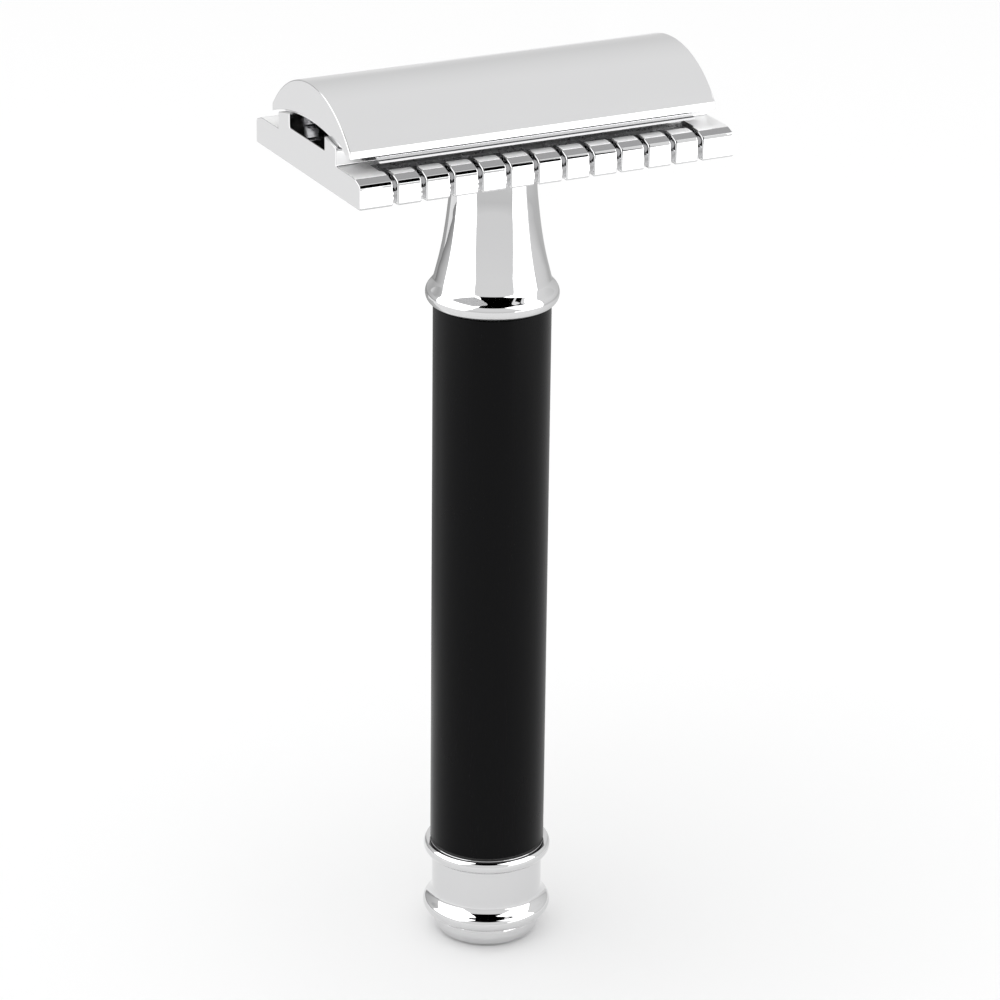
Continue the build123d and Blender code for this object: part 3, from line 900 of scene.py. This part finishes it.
# the room is a little darker low down than overhead
wt = world.node_tree
co = wt.nodes.new("ShaderNodeTexCoord")
xyz = wt.nodes.new("ShaderNodeSeparateXYZ")
grad = wt.nodes.new("ShaderNodeValToRGB")
wt.links.new(co.outputs["Generated"], xyz.inputs["Vector"])
wt.links.new(xyz.outputs["Z"], grad.inputs["Fac"])
wt.links.new(grad.outputs["Color"], wt.nodes["Background"].inputs["Color"])
for i, (at, v) in enumerate(((0.0, 0.80), (0.30, 0.80), (0.60, 0.93), (0.80, 1.0), (1.0, 1.0))):
    e = grad.color_ramp.elements[i] if i < 2 else grad.color_ramp.elements.new(at)
    e.position = at
    e.color = (v, v, v, 1)
bpy.context.scene.world = world


def direction(az):
    a = math.radians(az)
    return toward * math.cos(a) + rightward * math.sin(a)


def panel(name, rows, level, steps=28):
    """A card that only reflections see. rows run from its bottom to its top: (radius, height, azimuth from, azimuth to),
    metres and degrees about the handle's axis, where azimuth 0 is the camera's side and plus is its right.
    level(u, v) is its brightness, u across and v up."""
    bm = bmesh.new()
    col = bm.verts.layers.float_color.new("level")
    grid = []
    for j, (r, z, a0, a1) in enumerate(rows):
        v = j / (len(rows) - 1)
        line = []
        for i in range(steps + 1):
            u = i / steps
            d = direction(a0 + (a1 - a0) * u)
            p = bm.verts.new((d.x * r, d.y * r, z))
            k = level(u, v) if callable(level) else level
            p[col] = (k, k, k, 1)
            line.append(p)
        grid.append(line)
    for p, q in zip(grid[:-1], grid[1:]):
        for i in range(steps):
            bm.faces.new((p[i], p[i + 1], q[i + 1], q[i]))
    me = bpy.data.meshes.new(name)
    bm.to_mesh(me)
    bm.free()
    ob = bpy.data.objects.new(name, me)
    bpy.context.scene.collection.objects.link(ob)
    mt = bpy.data.materials.new(name)
    mt.use_nodes = True
    n = mt.node_tree
    n.nodes.clear()
    at = n.nodes.new("ShaderNodeAttribute")
    at.attribute_name = "level"
    em = n.nodes.new("ShaderNodeEmission")
    out = n.nodes.new("ShaderNodeOutputMaterial")
    n.links.new(at.outputs["Color"], em.inputs["Color"])
    n.links.new(em.outputs["Emission"], out.inputs["Surface"])
    ob.data.materials.append(mt)
    ob.visible_camera = False
    ob.visible_diffuse = False
    ob.visible_shadow = False
    ob.visible_transmission = False
    ob.visible_volume_scatter = False
    return ob


def ramp(*stops):
    """Straight lines through evenly spaced values."""
    def f(t):
        k = min(max(t, 0.0), 1.0) * (len(stops) - 1)
        i = min(int(k), len(stops) - 2)
        return stops[i] + (stops[i + 1] - stops[i]) * (k - i)
    return f


def shell(e0, e1, r, z0, a0, a1, n=8):
    """Rows on a dome of radius r about height z0, between two elevations."""
    out = []
    for i in range(n + 1):
        e = math.radians(e0 + (e1 - e0) * i / n)
        out.append((r * math.cos(e), z0 + r * math.sin(e), a0, a1))
    return out


WHITE = 2.6
# two tall white panels either side of the camera, their inner edges leaning together
panel("panel_left", [(0.19, 0.033, -105, -46), (0.19, 0.060, -105, -42), (0.19, 0.110, -106, -33), (0.19, 0.150, -108, -31), (0.19, 0.210, -112, -25), (0.19, 0.285, -116, -25)], WHITE)
panel("panel_right", [(0.19, 0.022, 37, 93), (0.19, 0.0425, 38, 93), (0.19, 0.0435, 51, 93), (0.19, 0.064, 49, 93), (0.19, 0.110, 40, 93), (0.19, 0.150, 32, 94), (0.19, 0.205, 22, 96), (0.19, 0.232, 40, 97)], WHITE)
panel("panel_right_top", [(0.19, 0.232, 72, 97), (0.19, 0.285, 72, 98)], WHITE)
# what lies between them: the far floor, a pale backing, and the dark room above it
front = ramp(0.98, 0.74, 0.72, 0.78, 0.84)
panel("front_floor", [(0.24 + 0.54 * i / 8, 0.0012, -60, 66) for i in range(9)], lambda u, v: front(v))
panel("front_backing", [(0.78, 0.0012 + 0.54 * i / 4, -60, 66) for i in range(5)], lambda u, v: ramp(0.86, 0.91, 0.88)(v))
def patch(name, rows, r=0.90, level=0.0):
    panel(name, [(r * math.cos(math.radians(e)), 0.045 + r * math.sin(math.radians(e)), p, a) for e, p, a in rows], level)


patch("dark_room", ((33, -46, 48), (40, -46, 48), (50, -46, 48), (60, -44, 46), (66, -40, 42), (66.5, -30, 42), (79, -30, 42)))
patch("dark_corner", ((40.5, 53, 66), (51.5, 53, 66)))
# greys to the left and right rear
left = ramp(0.88, 0.58, 0.52, 0.64, 0.78)
panel("left_grey", [(0.42, 0.0012, -177, -104), (0.42, 0.03, -177, -104), (0.42, 0.06, -177, -104), (0.42, 0.16, -177, -104), (0.42, 0.165, -136, -104), (0.36, 0.31, -136, -104)], lambda u, v: left(u) * (1.0 + min(u / 0.25, 1.0) * (ramp(0.42, 0.85, 1.0, 1.0, 1.0, 1.0)(v) - 1.0)))
panel("left_floor", [(0.06, 0.0011, -183, -120), (0.10, 0.0011, -183, -120), (0.225, 0.0011, -183, -120)], lambda u, v: ramp(1.0, 0.55, 0.45)(v) * (0.6 + 0.7 * u))
panel("left_far_floor", [(0.226, 0.0012, -183, -138), (0.30, 0.0012, -183, -138), (0.42, 0.0012, -183, -138)], lambda u, v: 0.26 + 0.22 * u)
right = ramp(0.94, 0.90, 0.80, 0.70, 0.68)
panel("right_floor", [(0.03, 0.0011, 97, 176), (0.20, 0.0011, 97, 176), (0.29, 0.0011, 97, 176), (0.42, 0.0011, 97, 176)], lambda u, v: right(u) * ramp(1.0, 1.0, 0.8, 0.7)(v))
panel("right_grey", [(0.42, 0.0011, 97, 176), (0.42, 0.03, 97, 176), (0.42, 0.16, 97, 176), (0.42, 0.165, 97, 158), (0.36, 0.31, 97, 158)], lambda u, v: right(u) * ramp(0.74, 0.92, 1.0, 1.0, 1.0)(v))

sun = bpy.data.lights.new("top_light", "AREA")
sun.shape = "DISK"
sun.size = 1.1
sun.energy = 3.2
so = bpy.data.objects.new("top_light", sun)
so.location = toward * 0.15 + rightward * (-0.25) + Vector((0, 0, 1.3))
so.rotation_mode = "QUATERNION"
so.rotation_quaternion = (so.location - Vector((0, 0, 0.03))).to_track_quat("Z", "Y")
so.visible_glossy = False
so.visible_camera = False
bpy.context.scene.collection.objects.link(so)
